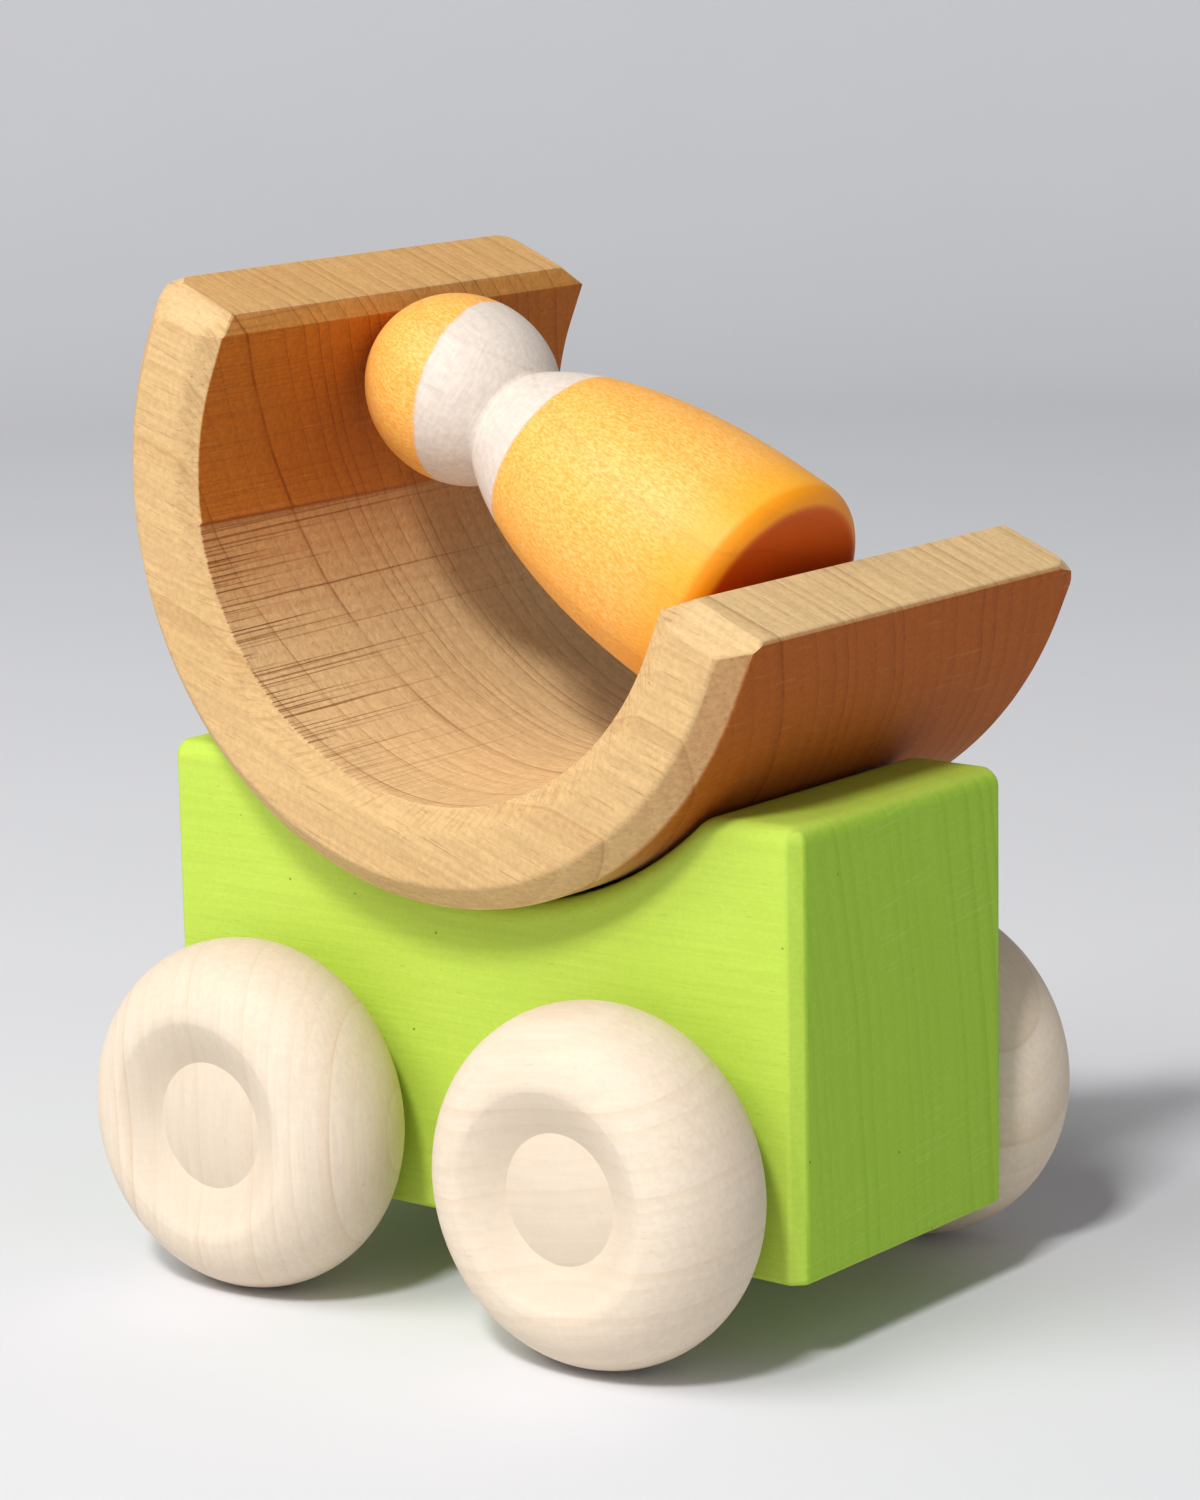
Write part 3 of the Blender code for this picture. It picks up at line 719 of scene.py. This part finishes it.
def build_block(material):
    low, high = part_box("chassis_block")
    bm = bmesh.new()
    outline = [bm.verts.new((x, low.y, z)) for x, z in block_outline(low, high)]
    grown = bmesh.ops.extrude_face_region(bm, geom=[bm.faces.new(outline)])["geom"]
    far_side = [part for part in grown if isinstance(part, bmesh.types.BMVert)]
    bmesh.ops.translate(bm, vec=(0, high.y - low.y, 0), verts=far_side)
    bmesh.ops.recalc_face_normals(bm, faces=bm.faces)
    for x_side in (-1, 1):
        for y_side in (-1, 1):
            corner = (x_side * (high.x - CORNER_CHAMFER), y_side * high.y, 0)
            plane_cut(bm, corner, (x_side, y_side, 0))
    rims = ((1, TOP_EDGE_ROUND, TOP_EDGE_STEPS), (-1, BOTTOM_EDGE_ROUND, BOTTOM_EDGE_STEPS))
    for direction, size, steps in rims:
        bm.normal_update()
        rim = rim_edges(bm, direction)
        bmesh.ops.bevel(bm, geom=rim, offset=size, segments=steps, profile=0.5, affect="EDGES")
    block = add_piece("fine_chassis_block", bm)
    for name in ("rear_axle_spin", "front_axle_spin"):
        bore = block.modifiers.new(f"{name} bore", "BOOLEAN")
        bore.operation = "DIFFERENCE"
        bore.object = axle_drill(name, high.y)
    wear_edges(block)
    stand_for(block, "chassis_block", "chassis", material)


def axle_drill(joint, half_width):
    """Cutter for a bore through the block, longer than the block is wide."""
    reach = 2 * half_width
    outline = [(0, reach), (BORE_RADIUS, reach), (BORE_RADIUS, -reach), (0, -reach)]
    place = Matrix.Translation(JOINTS[joint]["pos_m"]) @ Matrix.Rotation(pi / 2, 4, "X")
    drill = turned(f"{joint}_drill", outline, place)
    drill.hide_render = True
    drill.display_type = "WIRE"
    return drill


def wheel_outline(radius, thickness):
    """Half section of a wheel from the middle of its hub round to its axle bore. Height 0 is half way."""
    half = thickness / 2
    crest = radius - RIM_WIDTH
    hub_edge = half - HUB_DEPTH
    bore_end = WHEEL_BORE_DEPTH - half
    shares = [i / HUB_STEPS for i in range(HUB_STEPS)]
    dome = [(HUB_RADIUS * share, hub_edge + HUB_DOME * (1 - share**2)) for share in shares]
    dome += [(HUB_RADIUS - HUB_CREASE, hub_edge + 0.3 * HUB_CREASE), (HUB_RADIUS, hub_edge)]
    dish_start = (HUB_RADIUS + HUB_CREASE, hub_edge + 0.5 * HUB_CREASE)
    bend = (HUB_RADIUS + DISH_PULL[0] * (crest - HUB_RADIUS), hub_edge + DISH_PULL[1] * HUB_DEPTH)
    dish = soft_corner(dish_start, bend, (crest, half), DISH_STEPS)
    ridge_end = (crest + RIDGE_ROUND, half - 0.03 * RIDGE_ROUND)
    ridge = soft_corner(dish[-2], (crest, half), ridge_end, RIDGE_STEPS)
    half_turn = arc((0, 0), 1, pi / 2, -pi / 2, TREAD_STEPS)
    tread = [(crest + RIM_WIDTH * across, half * along) for across, along in half_turn]
    rim = [point for point in tread if point[0] > ridge[-1][0] or point[1] < 0]
    back = [(WHEEL_BORE_RADIUS, -half), (WHEEL_BORE_RADIUS, bore_end), (0, bore_end)]
    return dome + dish[:-2] + ridge + rim + back


def wheel_frame(end, side):
    """A wheel's own frame: its middle, with Z along the axle and away from the car."""
    low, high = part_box(f"{end}_{side}_wheel")
    axle = JOINTS[f"{end}_axle_spin"]["pos_m"]
    outward = 1 if side == "left" else -1
    middle = Vector((axle[0], (low.y + high.y) / 2, axle[2]))
    return Matrix.Translation(middle) @ Matrix.Rotation(-outward * pi / 2, 4, "X")


def build_wheel(end, side, grain, rings, spacing, pith, lines, seed):
    node = f"{end}_{side}_wheel"
    low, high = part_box(node)
    place = wheel_frame(end, side)
    wheel = turned(f"fine_{node}", wheel_outline(place.translation.z, high.y - low.y), place)
    keep_flats(wheel)
    material = maple(f"maple_{end}_{side}", place, grain, rings, spacing, pith, lines, seed)
    stand_for(wheel, node, f"{end}_axle_set", material)


def arch_section(inner, outer):
    """Section of the arch's wall with its chamfered edges, as (radius, y) points."""
    half = ARCH_WIDTH / 2
    right = [
        (inner, ARCH_INNER_BEVEL_DEPTH - half),
        (inner + ARCH_INNER_BEVEL, -half),
        (outer - ARCH_OUTER_CHAMFER, -half),
        (outer, ARCH_OUTER_CHAMFER - half),
    ]
    return right + [(radius, -y) for radius, y in reversed(right)]


def shape_leg_end(bm, inner, outer, tip_wears):
    """Chamfers the end of the rear leg along its edges and at both tips, and rounds every edge of those."""
    half = ARCH_WIDTH / 2
    slant = sqrt(0.5)
    top = (Vector((0, 0, 1)), ARCH_LEG)
    outside = (Vector((-1, 0, 0)), outer)
    inside = (Vector((1, 0, 0)), -inner)
    outer_rim = (Vector((-slant, 0, slant)), slant * (outer - ARCH_END_OUTER_CHAMFER + ARCH_LEG))
    inner_rim = (Vector((slant, 0, slant)), slant * (ARCH_LEG - ARCH_END_INNER_CHAMFER - inner))
    chamfers = [outer_rim, inner_rim]
    meetings = [(top, outer_rim, ARCH_WEAR), (outer_rim, outside, ARCH_WEAR)]
    meetings += [(top, inner_rim, ARCH_WEAR), (inner_rim, inside, ARCH_WEAR)]
    for side, tip_wear in zip((-1, 1), tip_wears):
        face = (Vector((0, side, 0)), half)
        edge = (Vector((-slant, side * slant, 0)), slant * (outer - ARCH_OUTER_CHAMFER + half))
        tip_normal = Vector((0, side * ARCH_TIP_DROP, ARCH_TIP_CHAMFER)).normalized()
        tip = (tip_normal, tip_normal.dot(Vector((0, side * half, ARCH_LEG - ARCH_TIP_DROP))))
        chamfers.append(tip)
        meetings += [(tip, outer_rim, tip_wear), (tip, edge, tip_wear)]
        meetings += [(top, tip, ARCH_WEAR), (tip, face, ARCH_WEAR), (tip, inner_rim, ARCH_WEAR)]
    for normal, distance in chamfers:
        plane_cut(bm, normal * distance, normal)
    for first, second, radius in meetings:
        round_edge(bm, first, second, radius)
    bmesh.ops.remove_doubles(bm, verts=bm.verts, dist=WELD_DISTANCE)


def ramp(value, start, end):
    """0 before start, 1 after end, and straight between them."""
    return min(max((value - start) / (end - start), 0), 1)


def saw_inside(bm, inner):
    """Saw marks on the inner wall, deepest at its right edge, and the ledge where two cuts met."""
    for vert in bm.verts:
        radius = hypot(vert.co.x, vert.co.z)
        if vert.co.z > 0 or vert.co.y > 0 or radius > inner + ARCH_EDGE_INSETS[0]:
            continue
        angle = atan2(-vert.co.z, -vert.co.x)
        rough = ramp(angle, 0, LEDGE_ANGLE)
        rough *= 1 - SAW_FADE_SHARE * ramp(angle, SAW_FADE_START, SAW_FADE_END)
        rough *= 1 - ramp(angle, SAW_STOP_START, SAW_STOP_END)
        wave = 0.5 + 0.5 * noise.noise((angle * inner / SAW_PITCH, 0, 0))
        depth = SAW_DEPTH * rough * wave
        if angle > LEDGE_ANGLE:
            depth += LEDGE_DEPTH * (1 - ramp(angle, LEDGE_ANGLE, LEDGE_ANGLE + LEDGE_FADE))
        vert.co.x *= 1 + depth / radius
        vert.co.z *= 1 + depth / radius


def arch_half(inner, outer, tip_wears):
    """The straight rear leg and the quarter ring below it."""
    half = bmesh.new()
    insets = ARCH_EDGE_INSETS + ARCH_EDGE_INSETS[::-1]
    outline = round_outline(arch_section(inner, outer), insets, ARCH_EDGE_STEPS)
    section = half.faces.new([half.verts.new((-radius, y, 0)) for radius, y in outline])
    grown = bmesh.ops.extrude_face_region(half, geom=[section])["geom"]
    top = [part for part in grown if isinstance(part, bmesh.types.BMVert)]
    bmesh.ops.translate(half, vec=(0, 0, ARCH_LEG), verts=top)
    bmesh.ops.recalc_face_normals(half, faces=half.faces)
    bmesh.ops.delete(half, geom=[section], context="FACES_ONLY")
    shape_leg_end(half, inner, outer, tip_wears)
    ring = [edge for edge in half.edges if edge.is_boundary]
    bmesh.ops.spin(half, geom=ring, cent=(0, 0, 0), axis=(0, -1, 0), angle=pi / 2, steps=ARCH_STEPS // 2)
    return half


def build_arch(material):
    """Two halves, the front one turned over, that meet at the bottom of the ring."""
    outer = arch_outer_radius()
    inner = outer - ARCH_WALL
    bm = bmesh.new()
    for side, tip_wears in ((1, REAR_TIP_WEARS), (-1, FRONT_TIP_WEARS)):
        half = arch_half(inner, outer, tip_wears)
        half.transform(Matrix.Scale(side, 4, (1, 0, 0)))
        mesh = bpy.data.meshes.new("arch_half")
        half.to_mesh(mesh)
        half.free()
        bm.from_mesh(mesh)
        bpy.data.meshes.remove(mesh)
    bmesh.ops.remove_doubles(bm, verts=bm.verts, dist=MERGE_DISTANCE)
    saw_inside(bm, inner)
    arch = add_piece("fine_rocking_arch", bm, arch_frame())
    arch.data.set_sharp_from_angle(angle=ARCH_CRISP_ANGLE)
    keep_flats(arch)
    stand_for(arch, "rocking_arch", "arch", material)


def figure_outline():
    """Half section of the figure from the top of its head, by the groove of its neck, down to its base."""
    head_centre = FIGURE_LENGTH - HEAD_HALF_HEIGHT
    neck_height = head_centre - HEAD_HALF_HEIGHT * sqrt(1 - (NECK_RADIUS / HEAD_RADIUS) ** 2)
    head_swing = pi - asin(NECK_RADIUS / HEAD_RADIUS)
    body_swing = acos(NECK_RADIUS / FIGURE_RADIUS)
    body_rise = (neck_height - FIGURE_SHOULDER_START) / sin(body_swing)
    steps = FIGURE_STEPS
    head_angles = [head_swing * i / steps for i in range(steps + 1)]
    head = [(HEAD_RADIUS * sin(a), head_centre + HEAD_HALF_HEIGHT * cos(a)) for a in head_angles]
    body_angles = [body_swing * (1 - i / steps) for i in range(1, steps + 1)]
    body = [(FIGURE_RADIUS * cos(a), FIGURE_SHOULDER_START + body_rise * sin(a)) for a in body_angles]
    flat = FIGURE_RADIUS - FIGURE_BASE_ROUND
    rim = arc((flat, FIGURE_BASE_ROUND), FIGURE_BASE_ROUND, 0, -pi / 2, FIGURE_RIM_STEPS)
    return head + body + rim + [(0, 0)]


def figure_frame():
    """The figure's own frame: its base at height 0 and its head up Z."""
    along_arch = Matrix.Translation((0, FIGURE_OFFSET, 0)) @ Matrix.Rotation(-FIGURE_TURN, 4, "Z")
    lying = Matrix.Rotation(FIGURE_LEAN - pi / 2, 4, "Y") @ Matrix.Translation((0, 0, -FIGURE_CROSSING))
    return arch_frame() @ along_arch @ lying


def build_figure(material):
    figure = turned("fine_peg_figure", figure_outline(), figure_frame())
    keep_flats(figure)
    stand_for(figure, "peg_figure", "figure", material)


def finish_axles():
    material = dowel_wood()
    for node in ("front_axle", "rear_axle"):
        for slot in frame["nodes"][node].material_slots:
            slot.material = material


def add_floor():
    """A pale floor that sweeps up far behind the object on every side."""
    flat_radius, bend_radius, bend_end = 0.75, 0.40, -radians(8)
    dark, light = (0.722, 0.728, 0.758), (0.737, 0.743, 0.773)
    bend = arc((flat_radius, bend_radius), bend_radius, -pi / 2, bend_end, FLOOR_BEND_STEPS)
    outline = [(0, 0), (flat_radius, 0)] + bend[1:]
    floor = add_piece("floor", spun(outline, FLOOR_STEPS))
    finish = Finish("pale_floor")
    cloud = finish.noise(finish.place, 0.02, 2)
    colour = finish.mix(cloud, dark, light)
    floor.data.materials.append(finish.finish(colour, 0.8, cloud, 0.01, 0.15))


def add_light(name, direction, distance, size, power):
    """A square soft light, a little warm, that shines at the object from a direction."""
    light = bpy.data.lights.new(name, "AREA")
    light.size = size
    light.energy = power
    light.color = (1.0, 0.99, 0.975)
    lamp = bpy.data.objects.new(name, light)
    aim = Vector((0, 0, 50 * MM))
    lamp.location = aim + Vector(direction).normalized() * distance
    lamp.rotation_euler = (aim - lamp.location).to_track_quat("-Z", "Y").to_euler()
    bpy.context.scene.collection.objects.link(lamp)


def add_lights():
    add_light("broad", direction=(-0.30, -0.56, 0.76), distance=1.45, size=0.8, power=11.0)
    add_light("small", direction=(0.15, -0.62, 0.77), distance=1.5, size=0.22, power=14.5)
    world = bpy.data.worlds.new("studio")
    bpy.context.scene.world = world
    world.use_nodes = True
    sky = world.node_tree.nodes["Background"]
    sky.inputs["Color"].default_value = (0.97, 0.985, 1.0, 1)
    sky.inputs["Strength"].default_value = 0.20
    bpy.context.scene.view_settings.view_transform = "Standard"


def add_camera():
    azimuth, elevation, roll = CAMERA_AZIMUTH, CAMERA_ELEVATION, CAMERA_ROLL
    back = Vector((sin(azimuth) * cos(elevation), -cos(azimuth) * cos(elevation), sin(elevation)))
    level = Vector((cos(azimuth), sin(azimuth), 0))
    above = back.cross(level)
    right = level * cos(roll) + above * sin(roll)
    up = above * cos(roll) - level * sin(roll)
    camera = bpy.data.cameras.new("camera")
    camera.sensor_width = SENSOR
    camera.lens = FOCAL_LENGTH_PX * SENSOR / PICTURE_HEIGHT_PX
    camera.clip_start = 0.01
    holder = bpy.data.objects.new("camera", camera)
    axes = Matrix((right, up, back)).transposed().to_4x4()
    eye = back * CAMERA_DISTANCE + right * LOOK_RIGHT + up * LOOK_UP
    holder.matrix_world = Matrix.Translation(eye) @ axes
    bpy.context.scene.collection.objects.link(holder)
    bpy.context.scene.camera = holder


def build_wheels():
    """Each wheel with the way its grain runs, the way across its rings, and their spacing and pith."""
    build_wheel("rear", "right", (0, 1, 0.06), (1, 0.03, -0.5), spacing=2.2, pith=140.0, lines=0.34, seed=2)
    build_wheel("front", "right", (1, 0.16, 0), (0, 1, 0.16), spacing=2.1, pith=110.0, lines=0.08, seed=4)
    build_wheel("front", "left", (1, 0.7, 0), (-0.6, 1, 0.5), spacing=4.2, pith=70.0, lines=0.3, seed=6)
    build_wheel("rear", "left", (1, -0.4, 0), (0.5, 1, 0.4), spacing=3.2, pith=80.0, lines=0.3, seed=9)


def main():
    for name in ("Cube", "Light", "Camera"):
        if name in bpy.data.objects:
            bpy.data.objects.remove(bpy.data.objects[name])
    build_block(green_wood())
    build_wheels()
    build_arch(brown_wood(arch_frame()))
    build_figure(figure_wood(figure_frame()))
    finish_axles()
    add_floor()
    add_lights()
    add_camera()


main()
